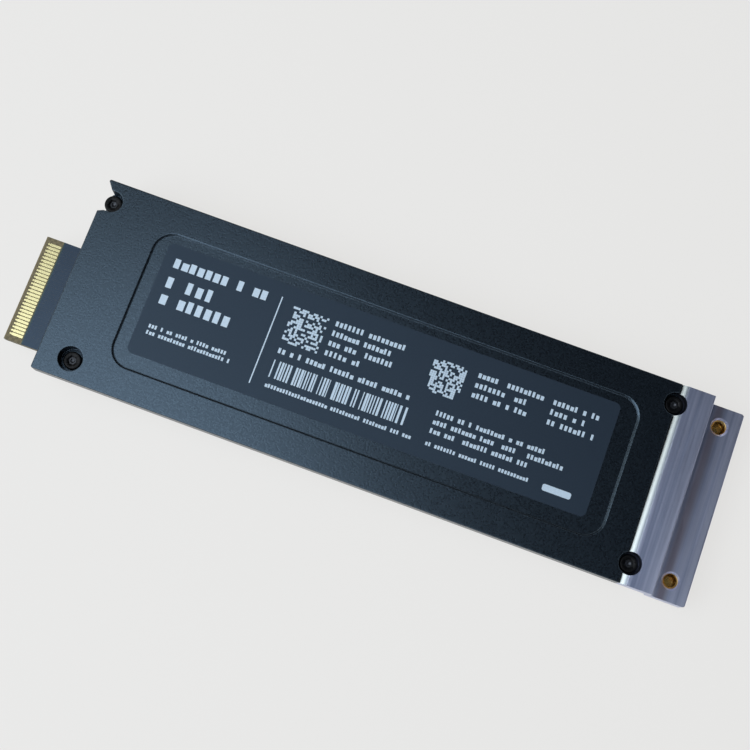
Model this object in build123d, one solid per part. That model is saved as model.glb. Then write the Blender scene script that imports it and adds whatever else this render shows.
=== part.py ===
"""Short ruler solid-state drive module: a flat black case with an edge connector at the rear and a bare
aluminium end piece at the front, which carries the latch. All sizes are in millimetres.

Frame: +X from the connector to the front end, +Z up through the labelled cover, origin at the centre of
the underside of the whole module.
"""
from build123d import *
import os

# Envelope of the module
LENGTH = 118.75
WIDTH = 33.75
THICKNESS = 9.5

# Lengths along X: the connector tongue at the rear, the two steps of the bracket at the front
TONGUE_LENGTH = 7.2
LEDGE_LENGTH = 6.25
PLATFORM_LENGTH = 5.7

# Cover: lid with rail edges that stand out past the case walls
COVER_HEIGHT = 2.7
COVER_PLATE = 1.6
COVER_CORNER = 0.3
COVER_FRONT_RIB = 1.2
RAIL_OVERHANG = 0.9
EDGE_BREAK = 0.15

# Label recess in the cover and the film in it
RECESS_REAR_MARGIN = 11.1
RECESS_FRONT_MARGIN = 5.1
RECESS_SIDE_MARGIN = 5.15
RECESS_DEPTH = 0.35
RECESS_BEVEL = 0.26
RECESS_BEVEL_DEPTH = 0.14
RECESS_CORNER = 3.3
LABEL_REAR_MARGIN = 2.2
LABEL_FRONT_MARGIN = 3.1
LABEL_LOW_MARGIN = 2.6
LABEL_HIGH_MARGIN = 1.4
LABEL_FILM = 0.12
LABEL_CORNER = 1.0

# Case: cast tray with four stepped posts
CASE_WALL = 1.0
CASE_FLOOR = 1.3
REAR_WALL = 1.0
FRONT_WALL = 1.2
CASE_CORNER = 0.8
CASE_INNER_CORNER = 1.0
CASE_BEVEL = 0.6
POST_RADIUS = 1.7
POST_BASE_RADIUS = 2.6

# Screws: small low-headed socket screws, set in from the long edges, the rear pair seated deeper
SCREW_RADIUS = 1.0
SCREW_LENGTH = 5.0
HEAD_RADIUS = 1.5
HEAD_HEIGHT = 0.75
HEAD_BEVEL = 0.2
SOCKET_FLATS = 1.3
SOCKET_DEPTH = 0.45
SCREW_TIP_BEVEL = 0.25
SCREW_INSET = 3.475
SCREW_HOLE_CLEARANCE = 0.12
THREAD_CLEARANCE = 0.02
THREAD_RUNOUT = 0.3
REAR_SEAT_LIP = 0.5
FRONT_SEAT_LIP = 1.0
SEAT_BOSS_WALL = 1.1
COUNTERBORE_CLEARANCE = 0.56
NOTCH_CLEARANCE = 0.34
FRONT_POCKET_CLEARANCE = 0.38

# Screw places along X: the rear pair from the case's rear end, the front pair from the cover's front edge
NOTCH_SCREW_SETBACK = 1.72
BORE_SCREW_SETBACK = 5.5
UPPER_FRONT_SCREW_SHIFT = -0.12
LOWER_FRONT_SCREW_SHIFT = 0.8

# Open rear notch round the first screw, flared more on the side towards the long edge
NOTCH_FLARE_LENGTH = 1.0
NOTCH_INNER_FLARE = 0.45
NOTCH_OUTER_FLARE = 1.35
NOTCH_RELIEF_DEPTH = 2.0
NOTCH_WALL = 1.04
NOTCH_SHOULDER = 0.95

# Bracket: extruded aluminium end piece with a platform, a web and a lower ledge
WEB_THICKNESS = 2.5
LEDGE_DROP = 4.4
LEDGE_INSET = 0.25
LEDGE_PLATE = 2.5
PLATFORM_BEVEL = 1.1
PLATFORM_BEVEL_DROP = 0.5
PLATFORM_CROWN = 1.5
BRACKET_CORNER = 0.5

# Latch holes in the ledge and the blind nuts pressed in below them
LATCH_SPACING = 26.6
LATCH_FRONT_INSET = 3.35
LATCH_HOLE_RADIUS = 1.225
LATCH_CHAMFER = 0.3
NUT_BORE_RADIUS = 1.05
NUT_BODY_RADIUS = 1.6
NUT_FLANGE_RADIUS = 2.2
NUT_FLANGE = 0.5
NUT_CAP = 0.5
NUT_FLOOR = 0.45
PRESS_CLEARANCE = 0.01

# Board and its connector tongue
BOARD_THICKNESS = 1.57
BOARD_CLEARANCE = 0.25
TONGUE_WIDTH = 18.5
TONGUE_SHIFT = -4.25
TONGUE_SLOT_SIDE = 0.2
TONGUE_SLOT_GAP = 0.1
TONGUE_BEVEL = 0.25

# Contact fingers: one row on each face, set back from the tip
FINGER_COUNT = 28
FINGER_PITCH = 0.6
FINGER_WIDTH = 0.48
FINGER_LENGTH = 2.0
FINGER_PLATING = 0.05
FINGER_SETBACK = 1.0

# Chips and other parts on the board: length along X, width along Y, height
CONTROLLER = (16.0, 16.0, 1.4)
DRAM = (8.0, 11.0, 1.0)
NAND = (13.5, 11.5, 1.2)
POWER_MANAGER = (5.0, 5.0, 0.9)
INPUT_FUSE = (3.2, 1.6, 0.8)
TEMPERATURE_SENSOR = (2.0, 2.0, 0.7)
INDUCTOR = (4.0, 4.0, 1.8)
CRYSTAL = (3.2, 2.5, 0.8)
HOLD_UP_CAPACITOR = (7.3, 4.3, 1.9)
CHIP_CAPACITOR = (1.0, 0.5, 0.5)
LED = (0.8, 1.6, 0.9)
PART_GAP = 1.2
INDUCTOR_COUNT = 3
NAND_TOP_COLUMNS = 2
NAND_BOTTOM_COLUMNS = 4
CAPACITOR_ROWS = 4
CHIP_CAPACITOR_COUNT = 8
CHIP_CAPACITOR_PITCH = 1.8
CRYSTAL_EDGE = 1.0
BODY_BEVEL = 0.1
PAD_INSET = 0.5

# Status lights: two clear rods from the light-emitting diodes to the front face of the web
LIGHT_PIPE_RADIUS = 0.45
LIGHT_PIPE_SPACING = 5.0
LIGHT_PIPE_CLEARANCE = 0.02

# Levels that follow from the sizes
TIP = -LENGTH / 2
FRONT = LENGTH / 2
CASE_REAR = TIP + TONGUE_LENGTH
LEDGE_START = FRONT - LEDGE_LENGTH
COVER_FRONT = LEDGE_START - PLATFORM_LENGTH
WEB_REAR = LEDGE_START - WEB_THICKNESS
SIDE = WIDTH / 2
CASE_SIDE = SIDE - RAIL_OVERHANG
CASE_INNER_SIDE = CASE_SIDE - CASE_WALL
CASE_INNER_REAR = CASE_REAR + REAR_WALL
CASE_INNER_FRONT = WEB_REAR - FRONT_WALL
BOARD_SIDE = CASE_INNER_SIDE - BOARD_CLEARANCE
BOARD_REAR = CASE_INNER_REAR + BOARD_CLEARANCE
BOARD_FRONT = CASE_INNER_FRONT - BOARD_CLEARANCE
BOARD_BOTTOM = (THICKNESS - BOARD_THICKNESS) / 2
BOARD_TOP = BOARD_BOTTOM + BOARD_THICKNESS
SPLIT = THICKNESS - COVER_HEIGHT
COVER_UNDERSIDE = THICKNESS - COVER_PLATE
RECESS_FLOOR = THICKNESS - RECESS_DEPTH
REAR_SEAT = SPLIT + REAR_SEAT_LIP
FRONT_SEAT = SPLIT + FRONT_SEAT_LIP
LEDGE_TOP = THICKNESS - LEDGE_DROP
LEDGE_BOTTOM = LEDGE_TOP - LEDGE_PLATE
SCREW_HOLE_RADIUS = SCREW_RADIUS + SCREW_HOLE_CLEARANCE
COUNTERBORE_RADIUS = HEAD_RADIUS + COUNTERBORE_CLEARANCE
NOTCH_RADIUS = HEAD_RADIUS + NOTCH_CLEARANCE
NOTCH_BLOCK_RADIUS = NOTCH_RADIUS + NOTCH_WALL
FRONT_POCKET_RADIUS = HEAD_RADIUS + FRONT_POCKET_CLEARANCE
LIGHT_PIPE_LEVEL = BOARD_TOP + LED[2] / 2
OVERSHOOT = 2 * WIDTH

# Screw centres and the levels of their seats
SCREW_Y = SIDE - SCREW_INSET
NOTCH_SCREW = (CASE_REAR + NOTCH_SCREW_SETBACK, SCREW_Y)
BORE_SCREW = (CASE_REAR + BORE_SCREW_SETBACK, -SCREW_Y)
UPPER_FRONT_SCREW = (COVER_FRONT + UPPER_FRONT_SCREW_SHIFT, SCREW_Y)
LOWER_FRONT_SCREW = (COVER_FRONT + LOWER_FRONT_SCREW_SHIFT, -SCREW_Y)
FRONT_SCREWS = (UPPER_FRONT_SCREW, LOWER_FRONT_SCREW)
SCREWS = (NOTCH_SCREW, BORE_SCREW) + FRONT_SCREWS
SEATS = (REAR_SEAT, REAR_SEAT, FRONT_SEAT, FRONT_SEAT)
LATCH_HOLES = [(FRONT - LATCH_FRONT_INSET, side * LATCH_SPACING / 2) for side in (1, -1)]


def block(x_range, y_range, z_range):
    """Straight-sided block between pairs of limits."""
    low = (x_range[0], y_range[0], z_range[0])
    size = (x_range[1] - low[0], y_range[1] - low[1], z_range[1] - low[2])
    return Pos(*low) * Box(*size, align=(Align.MIN, Align.MIN, Align.MIN))


def raised(sketch, bottom, top):
    """Flat outline raised from one level to another."""
    return extrude(Pos(0, 0, bottom) * sketch, top - bottom)


def disc(centre, radius, bottom, top):
    """Upright cylinder at a plan position."""
    return raised(Pos(*centre) * Circle(radius), bottom, top)


def plan(x_range, y_range, corner=0.0):
    """Plan rectangle between limits, with round corners where a radius is given."""
    width = x_range[1] - x_range[0]
    depth = y_range[1] - y_range[0]
    shape = RectangleRounded(width, depth, corner) if corner else Rectangle(width, depth)
    return Pos(sum(x_range) / 2, sum(y_range) / 2) * shape


def rear_slot(centre, radius):
    """U-shaped plan that runs from a screw out through the rear end."""
    length = OVERSHOOT + 2 * radius
    return Pos(centre[0] + radius - length / 2, centre[1]) * SlotOverall(length, 2 * radius)


def notch_mouth():
    """Rear notch in plan: the U round the screw with a flared mouth at the case's rear end."""
    low = NOTCH_SCREW[1] - NOTCH_RADIUS
    high = NOTCH_SCREW[1] + NOTCH_RADIUS
    inner = CASE_REAR + NOTCH_FLARE_LENGTH
    low_corner = (CASE_REAR, low - NOTCH_INNER_FLARE)
    high_corner = (CASE_REAR, high + NOTCH_OUTER_FLARE)
    flare = make_face(Polyline(low_corner, (inner, low), (inner, high), high_corner, close=True))
    return rear_slot(NOTCH_SCREW, NOTCH_RADIUS) + flare


def behind_notch_screw(sketch):
    """The part of a plan that lies behind the notch screw's centre."""
    return sketch & plan((CASE_REAR - OVERSHOOT, NOTCH_SCREW[0]), (-SIDE, SIDE))


def tongue_limits(margin):
    """Side limits of the connector tongue, with a margin on both sides."""
    half = TONGUE_WIDTH / 2 + margin
    return (TONGUE_SHIFT - half, TONGUE_SHIFT + half)


def recess_limits():
    """Plan limits of the label recess."""
    x_range = (CASE_REAR + RECESS_REAR_MARGIN, COVER_FRONT - RECESS_FRONT_MARGIN)
    half = SIDE - RECESS_SIDE_MARGIN
    return x_range, (-half, half)


def top_cover():
    """Lid: a plate with deep rail edges, pocketed below, with screw seats and the label recess."""
    cover = raised(plan((CASE_REAR, COVER_FRONT), (-SIDE, SIDE)), SPLIT, THICKNESS)
    upright = cover.edges().filter_by(Axis.Z).group_by(Axis.X)[0]
    cover = fillet(upright, COVER_CORNER)
    cover = fillet(cover.faces().sort_by(Axis.Z)[-1].edges(), EDGE_BREAK)

    x_range, y_range = recess_limits()
    cover -= raised(plan(x_range, y_range, RECESS_CORNER), RECESS_FLOOR, THICKNESS)
    top = cover.faces().sort_by(Axis.Z)[-1]
    cover = chamfer(top.inner_wires()[0].edges(), RECESS_BEVEL, RECESS_BEVEL_DEPTH, reference=top)

    pocket = plan((CASE_INNER_REAR, COVER_FRONT - COVER_FRONT_RIB), (-CASE_INNER_SIDE, CASE_INNER_SIDE),
                  CASE_INNER_CORNER)
    for centre in SCREWS:
        pocket -= Pos(*centre) * Circle(COUNTERBORE_RADIUS + SEAT_BOSS_WALL)
    cover -= raised(pocket, SPLIT, COVER_UNDERSIDE)

    cover -= raised(notch_mouth(), REAR_SEAT, THICKNESS)
    lip_trim = behind_notch_screw(notch_mouth()) - Pos(*NOTCH_SCREW) * Circle(HEAD_RADIUS)
    cover -= raised(lip_trim, SPLIT, REAR_SEAT)
    cover -= disc(BORE_SCREW, COUNTERBORE_RADIUS, REAR_SEAT, THICKNESS)
    for centre in FRONT_SCREWS:
        cover -= disc(centre, FRONT_POCKET_RADIUS, FRONT_SEAT, THICKNESS)
    for centre, seat in zip(SCREWS, SEATS):
        cover -= disc(centre, SCREW_HOLE_RADIUS, SPLIT, seat)

    lip_sides = tongue_limits(TONGUE_SLOT_SIDE - TONGUE_SLOT_GAP)
    lip = block((CASE_REAR, CASE_INNER_REAR), lip_sides, (BOARD_TOP + TONGUE_SLOT_GAP, SPLIT))
    return cover + lip


def label():
    """Printed film, glued to the floor of the recess."""
    (rear, front), (low, high) = recess_limits()
    outline = plan((rear + LABEL_REAR_MARGIN, front - LABEL_FRONT_MARGIN),
                   (low + LABEL_LOW_MARGIN, high - LABEL_HIGH_MARGIN), LABEL_CORNER)
    return raised(outline, RECESS_FLOOR, RECESS_FLOOR + LABEL_FILM)


def case_body():
    """Outer form of the case, with bevelled lower edges on three sides."""
    body = raised(plan((CASE_REAR, WEB_REAR), (-CASE_SIDE, CASE_SIDE)), 0, SPLIT)
    body = fillet(body.edges().filter_by(Axis.Z).group_by(Axis.X)[0], CASE_CORNER)
    underside = body.faces().sort_by(Axis.Z)[0]
    return chamfer(underside.edges().sort_by(Axis.X)[:-1], CASE_BEVEL)


def bottom_case():
    """Cast tray: walls, floor and four posts that carry the board and take the screws."""
    body = case_body()
    hollow = plan((CASE_INNER_REAR, CASE_INNER_FRONT), (-CASE_INNER_SIDE, CASE_INNER_SIDE), CASE_INNER_CORNER)
    case = body - raised(hollow, CASE_FLOOR, SPLIT)

    posts = raised(rear_slot(NOTCH_SCREW, NOTCH_BLOCK_RADIUS), CASE_FLOOR, SPLIT)
    posts += raised(rear_slot(NOTCH_SCREW, NOTCH_BLOCK_RADIUS + NOTCH_SHOULDER), CASE_FLOOR, BOARD_BOTTOM)
    for centre in (BORE_SCREW,) + FRONT_SCREWS:
        posts += disc(centre, POST_BASE_RADIUS, CASE_FLOOR, BOARD_BOTTOM)
        posts += disc(centre, POST_RADIUS, CASE_FLOOR, SPLIT)
    case += posts & body

    groove = behind_notch_screw(notch_mouth()) - Pos(*NOTCH_SCREW) * Circle(HEAD_RADIUS)
    case -= raised(groove, SPLIT - NOTCH_RELIEF_DEPTH, SPLIT)
    for centre, seat in zip(SCREWS, SEATS):
        thread_end = seat - SCREW_LENGTH - THREAD_RUNOUT
        case -= disc(centre, SCREW_RADIUS + THREAD_CLEARANCE, thread_end, SPLIT)

    slot = (BOARD_BOTTOM - TONGUE_SLOT_GAP, SPLIT)
    case -= block((CASE_REAR, CASE_INNER_REAR), tongue_limits(TONGUE_SLOT_SIDE), slot)
    return case - light_pipe_holes()


def light_rod(y, rear, radius):
    """Round rod along X, from a given rear end to the front face of the bracket's web."""
    section = Plane((rear, y, LIGHT_PIPE_LEVEL), x_dir=(0, 1, 0), z_dir=(1, 0, 0)) * Circle(radius)
    return extrude(section, LEDGE_START - rear)


def light_pipe_holes():
    """Holes for both light pipes, through the case's front wall and the bracket's web."""
    radius = LIGHT_PIPE_RADIUS + LIGHT_PIPE_CLEARANCE
    spread = LIGHT_PIPE_SPACING / 2
    return light_rod(spread, BOARD_FRONT, radius) + light_rod(-spread, BOARD_FRONT, radius)


def nearest_vertices(sketch, points):
    """The sketch's vertex at each of the given points."""
    return [sketch.vertices().sort_by_distance(point)[0] for point in points]


def front_bracket():
    """Extruded end piece: platform with a bevel beside the cover, web, and lower ledge for the latch."""
    corners = [
        (COVER_FRONT, SPLIT),
        (COVER_FRONT, THICKNESS - PLATFORM_BEVEL_DROP),
        (COVER_FRONT + PLATFORM_BEVEL, THICKNESS),
        (LEDGE_START, THICKNESS),
        (LEDGE_START, LEDGE_TOP),
        (FRONT, LEDGE_TOP),
        (FRONT, LEDGE_BOTTOM),
        (LEDGE_START, LEDGE_BOTTOM),
        (LEDGE_START, 0),
        (WEB_REAR, 0),
        (WEB_REAR, SPLIT),
    ]
    section = make_face(Polyline(*corners, close=True))
    section = fillet(nearest_vertices(section, corners[2:3]), PLATFORM_CROWN)
    section = fillet(nearest_vertices(section, corners[3:8]), EDGE_BREAK)
    bracket = extrude(Plane.XZ.offset(-SIDE) * section, WIDTH)

    for side in (1, -1):
        beyond_case = sorted((side * CASE_SIDE, side * SIDE))
        bracket -= block((WEB_REAR, LEDGE_START), beyond_case, (0, SPLIT))
    ledge_side = SIDE - LEDGE_INSET
    outline = plan((LEDGE_START, FRONT), (-ledge_side, ledge_side))
    outline = fillet(outline.vertices().group_by(Axis.X)[-1], BRACKET_CORNER)
    outline += plan((COVER_FRONT, LEDGE_START), (-SIDE, SIDE))
    bracket &= raised(outline, 0, THICKNESS)

    for centre in FRONT_SCREWS:
        bracket -= disc(centre, FRONT_POCKET_RADIUS, FRONT_SEAT, THICKNESS)
        bracket -= disc(centre, SCREW_HOLE_RADIUS, SPLIT, FRONT_SEAT)
    for centre in LATCH_HOLES:
        bracket -= disc(centre, LATCH_HOLE_RADIUS, LEDGE_BOTTOM, LEDGE_TOP)
        bracket -= disc(centre, NUT_BODY_RADIUS + PRESS_CLEARANCE, LEDGE_BOTTOM, LEDGE_TOP - NUT_CAP)
        mouth = Pos(*centre, LEDGE_TOP - LATCH_CHAMFER)
        flare = Cone(LATCH_HOLE_RADIUS, LATCH_HOLE_RADIUS + LATCH_CHAMFER, LATCH_CHAMFER,
                     align=(Align.CENTER, Align.CENTER, Align.MIN))
        bracket -= mouth * flare
    return bracket - light_pipe_holes()


def latch_nuts():
    """Blind brass nuts: a flange under the ledge, a body pressed up into it and a bore open to the top."""
    nuts = []
    for centre in LATCH_HOLES:
        nut = disc(centre, NUT_FLANGE_RADIUS, LEDGE_BOTTOM - NUT_FLANGE, LEDGE_BOTTOM)
        nut += disc(centre, NUT_BODY_RADIUS, LEDGE_BOTTOM, LEDGE_TOP - NUT_CAP)
        nut -= disc(centre, NUT_BORE_RADIUS, LEDGE_BOTTOM - NUT_FLANGE + NUT_FLOOR, LEDGE_TOP - NUT_CAP)
        nuts.append(nut)
    return Compound(nuts)


def cover_screws():
    """Four screws with bevelled heads and hexagon sockets, seated in the cover and the bracket."""
    screws = []
    for centre, seat in zip(SCREWS, SEATS):
        head = disc(centre, HEAD_RADIUS, seat, seat + HEAD_HEIGHT)
        head = chamfer(head.edges().group_by(Axis.Z)[-1], HEAD_BEVEL)
        socket = Pos(*centre) * RegularPolygon(SOCKET_FLATS / 2, 6, major_radius=False)
        head -= raised(socket, seat + HEAD_HEIGHT - SOCKET_DEPTH, seat + HEAD_HEIGHT)
        shank = disc(centre, SCREW_RADIUS, seat - SCREW_LENGTH, seat)
        shank = chamfer(shank.edges().group_by(Axis.Z)[0], SCREW_TIP_BEVEL)
        screws.append(head + shank)
    return Compound(screws)


def corner_relief(centre, radius, x_side):
    """Board cut round a post near a corner: open to one end and to the nearer long edge."""
    y_side = 1 if centre[1] > 0 else -1
    half = OVERSHOOT / 2
    place = Pos(centre[0] + x_side * (half - radius), centre[1] + y_side * (half - radius))
    return place * RectangleRounded(OVERSHOOT, OVERSHOOT, radius)


def main_board():
    """Circuit board with the connector tongue, cut back round the four posts."""
    outline = plan((BOARD_REAR, BOARD_FRONT), (-BOARD_SIDE, BOARD_SIDE), CASE_INNER_CORNER - BOARD_CLEARANCE)
    outline -= corner_relief(NOTCH_SCREW, NOTCH_BLOCK_RADIUS + BOARD_CLEARANCE, -1)
    relief = POST_RADIUS + BOARD_CLEARANCE
    for centre in FRONT_SCREWS:
        outline -= corner_relief(centre, relief, 1)
    notch_length = OVERSHOOT + 2 * relief
    side_notch = SlotOverall(notch_length, 2 * relief, rotation=90)
    outline -= Pos(BORE_SCREW[0], BORE_SCREW[1] + relief - notch_length / 2) * side_notch
    outline += plan((TIP, BOARD_REAR), tongue_limits(0))
    board = raised(outline, BOARD_BOTTOM, BOARD_TOP)
    tip_edges = board.edges().filter_by(Axis.Y).group_by(Axis.X)[0]
    return chamfer(tip_edges, TONGUE_BEVEL)


def contact_fingers(bottom):
    """One face's contact fingers, plated on the board from a given level upwards."""
    x_range = (TIP + FINGER_SETBACK, TIP + FINGER_SETBACK + FINGER_LENGTH)
    fingers = []
    for step in spread(FINGER_COUNT, FINGER_PITCH):
        y = TONGUE_SHIFT + step
        y_range = (y - FINGER_WIDTH / 2, y + FINGER_WIDTH / 2)
        fingers.append(block(x_range, y_range, (bottom, bottom + FINGER_PLATING)))
    return Compound(fingers)


def on_top(x, y, size):
    """Part with bevelled upright edges, standing on the board's upper face."""
    body = block((x - size[0] / 2, x + size[0] / 2), (y - size[1] / 2, y + size[1] / 2),
                 (BOARD_TOP, BOARD_TOP + size[2]))
    return chamfer(body.edges().filter_by(Axis.Z), BODY_BEVEL)


def under_board(x, y, size):
    """The same, hanging from the board's lower face."""
    return Pos(0, 0, BOARD_BOTTOM - size[2] - BOARD_TOP) * on_top(x, y, size)


def spread(count, pitch):
    """Evenly pitched offsets about zero."""
    return [(index - (count - 1) / 2) * pitch for index in range(count)]


def row_places(lengths):
    """Centres of a row of parts that fills the board between the rear and front posts, with equal gaps."""
    start = BORE_SCREW[0] + POST_BASE_RADIUS + PART_GAP
    end = UPPER_FRONT_SCREW[0] - COUNTERBORE_RADIUS - SEAT_BOSS_WALL - PART_GAP
    gap = (end - start - sum(lengths)) / (len(lengths) - 1)
    places = []
    for length in lengths:
        places.append(start + length / 2)
        start += length + gap
    return places


def power_parts(manager_x, coil_x):
    """Supply parts behind the controller: power manager, sensor and fuse, then a column of inductors."""
    sensor_y = (POWER_MANAGER[1] + TEMPERATURE_SENSOR[1]) / 2 + PART_GAP
    fuse_y = (POWER_MANAGER[1] + INPUT_FUSE[1]) / 2 + PART_GAP
    coils = [on_top(coil_x, y, INDUCTOR) for y in spread(INDUCTOR_COUNT, INDUCTOR[1] + PART_GAP)]
    return {
        "power_manager": on_top(manager_x, 0, POWER_MANAGER),
        "temperature_sensor": on_top(manager_x, sensor_y, TEMPERATURE_SENSOR),
        "input_fuse": on_top(manager_x, -fuse_y, INPUT_FUSE),
        "inductors": Compound(coils),
    }


def controller_parts(x):
    """Controller with its soft pad, the clock crystal by the board's edge and a row of chip capacitors."""
    half = CONTROLLER[0] / 2 - PAD_INSET
    side = CONTROLLER[1] / 2 - PAD_INSET
    crystal_y = BOARD_SIDE - CRYSTAL_EDGE - CRYSTAL[1] / 2
    row_y = (CONTROLLER[1] + CHIP_CAPACITOR[1]) / 2 + PART_GAP
    steps = spread(CHIP_CAPACITOR_COUNT, CHIP_CAPACITOR_PITCH)
    capacitors = [on_top(x + step, -row_y, CHIP_CAPACITOR) for step in steps]
    pad_levels = (BOARD_TOP + CONTROLLER[2], COVER_UNDERSIDE)
    return {
        "controller": on_top(x, 0, CONTROLLER),
        "controller_pad": block((x - half, x + half), (-side, side), pad_levels),
        "crystal": on_top(x, crystal_y, CRYSTAL),
        "decoupling_capacitors": Compound(capacitors),
    }


def memory(name, columns_x, place):
    """Two rows of storage packages on given columns, on one face of the board."""
    y = (NAND[1] + PART_GAP) / 2
    chips = [place(x, side * y, NAND) for x in columns_x for side in (1, -1)]
    return {f"{name}_{index}": chip for index, chip in enumerate(chips, 1)}


def pad_over(columns_x, bottom, top):
    """Soft pad that covers both rows of storage packages on given columns, between two levels."""
    half = NAND[0] / 2 - PAD_INSET
    side = NAND[1] + PART_GAP / 2 - PAD_INSET
    return block((columns_x[0] - half, columns_x[-1] + half), (-side, side), (bottom, top))


def capacitor_column(x, place):
    """One column of hold-up capacitors across the board, on one face."""
    rows = spread(CAPACITOR_ROWS, HOLD_UP_CAPACITOR[1] + PART_GAP)
    return [place(x, y, HOLD_UP_CAPACITOR) for y in rows]


def board_parts():
    """Everything on both faces of the board, laid out from the rear: power, controller, memory, hold-up."""
    lengths = [POWER_MANAGER[0], INDUCTOR[0], CONTROLLER[0], DRAM[0]]
    lengths += [NAND[0]] * NAND_TOP_COLUMNS + [HOLD_UP_CAPACITOR[0]]
    manager_x, coil_x, controller_x, dram_x, *top_columns, top_bank_x = row_places(lengths)
    parts = power_parts(manager_x, coil_x)
    parts.update(controller_parts(controller_x))
    dram_y = (DRAM[1] + PART_GAP) / 2
    parts["dram_1"] = on_top(dram_x, dram_y, DRAM)
    parts["dram_2"] = on_top(dram_x, -dram_y, DRAM)
    parts.update(memory("nand_top", top_columns, on_top))
    parts["nand_pad_top"] = pad_over(top_columns, BOARD_TOP + NAND[2], COVER_UNDERSIDE)

    lengths = [NAND[0]] * NAND_BOTTOM_COLUMNS + [HOLD_UP_CAPACITOR[0]]
    *bottom_columns, bottom_bank_x = row_places(lengths)
    parts.update(memory("nand_bottom", bottom_columns, under_board))
    parts["nand_pad_bottom"] = pad_over(bottom_columns, CASE_FLOOR, BOARD_BOTTOM - NAND[2])
    bank = capacitor_column(top_bank_x, on_top) + capacitor_column(bottom_bank_x, under_board)
    parts["hold_up_capacitors"] = Compound(bank)
    return parts


def light_parts():
    """Status lights: a side-shining diode at the board's front edge and a clear rod for each colour."""
    parts = {}
    x = BOARD_FRONT - LED[0] / 2
    for name, y in (("green", LIGHT_PIPE_SPACING / 2), ("amber", -LIGHT_PIPE_SPACING / 2)):
        parts[name + "_led"] = on_top(x, y, LED)
        parts["light_pipe_" + name] = light_rod(y, BOARD_FRONT, LIGHT_PIPE_RADIUS)
    return parts


def module():
    """Every piece of the module by name."""
    parts = {
        "bottom_case": bottom_case(),
        "top_cover": top_cover(),
        "label": label(),
        "front_bracket": front_bracket(),
        "latch_nuts": latch_nuts(),
        "cover_screws": cover_screws(),
        "main_board": main_board(),
        "contact_fingers_top": contact_fingers(BOARD_TOP),
        "contact_fingers_bottom": contact_fingers(BOARD_BOTTOM - FINGER_PLATING),
    }
    parts.update(board_parts())
    parts.update(light_parts())
    return parts


os.makedirs("parts", exist_ok=True)
for name, piece in module().items():
    export_step(piece, f"parts/{name}.step")
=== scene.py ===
"""Looks of a short ruler solid-state drive module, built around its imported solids. Lengths are written in
millimetres and turned to metres by MM, because the frame is in metres."""
import math
import bmesh
import bpy
from mathutils import Matrix, Vector


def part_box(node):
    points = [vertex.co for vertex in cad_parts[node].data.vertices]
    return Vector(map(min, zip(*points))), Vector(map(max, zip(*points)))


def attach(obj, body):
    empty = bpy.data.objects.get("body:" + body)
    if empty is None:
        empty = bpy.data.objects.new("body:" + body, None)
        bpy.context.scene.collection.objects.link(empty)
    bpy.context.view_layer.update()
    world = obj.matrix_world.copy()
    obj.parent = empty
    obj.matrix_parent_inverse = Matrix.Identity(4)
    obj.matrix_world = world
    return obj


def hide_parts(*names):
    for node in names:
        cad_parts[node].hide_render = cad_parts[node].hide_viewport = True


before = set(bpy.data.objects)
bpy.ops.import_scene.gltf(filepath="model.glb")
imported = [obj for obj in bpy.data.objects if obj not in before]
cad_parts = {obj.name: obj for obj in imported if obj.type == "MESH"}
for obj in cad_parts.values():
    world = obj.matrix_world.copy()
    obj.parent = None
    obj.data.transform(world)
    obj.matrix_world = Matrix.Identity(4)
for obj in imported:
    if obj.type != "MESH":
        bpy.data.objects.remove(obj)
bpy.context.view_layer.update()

# Bottom case: a die-cast aluminium tray that carries everything else, open at the top and at the rear.
# It is powder coated black inside and out; the board lies on its four posts, which also take the screws.
MM = 0.001


def linear(hex_colour):
    """Linear colour of an sRGB hex value."""
    channels = [int(hex_colour[at:at + 2], 16) / 255 for at in (1, 3, 5)]
    return [c / 12.92 if c <= 0.04045 else ((c + 0.055) / 1.055) ** 2.4 for c in channels] + [1.0]


def wire(tree, kind, inputs=None, **settings):
    """New node with its settings; each input, by identifier or name, is linked or set to a value."""
    node = tree.nodes.new(kind)
    for setting, value in settings.items():
        setattr(node, setting, value)
    for key, value in (inputs or {}).items():
        socket = next(s for s in node.inputs if key in (s.identifier, s.name))
        if isinstance(value, bpy.types.NodeSocket):
            tree.links.new(value, socket)
        else:
            socket.default_value = value
    return node


def finish(name):
    """New material, its empty node tree and the object's own coordinates in it."""
    material = bpy.data.materials.new(name)
    material.use_nodes = True
    tree = material.node_tree
    tree.nodes.clear()
    return material, tree, wire(tree, "ShaderNodeTexCoord").outputs["Object"]


def surface(tree, **sockets):
    """Closes a material with one shader; the keywords are the shader's sockets, with _ for a space."""
    inputs = {name.replace("_", " "): value for name, value in sockets.items()}
    shader = wire(tree, "ShaderNodeBsdfPrincipled", inputs)
    wire(tree, "ShaderNodeOutputMaterial", {"Surface": shader.outputs[0]})


def dress(material, *nodes):
    """Gives CAD nodes a finish in place of their packed one."""
    for node in nodes:
        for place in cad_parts[node].material_slots:
            place.material = material


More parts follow.
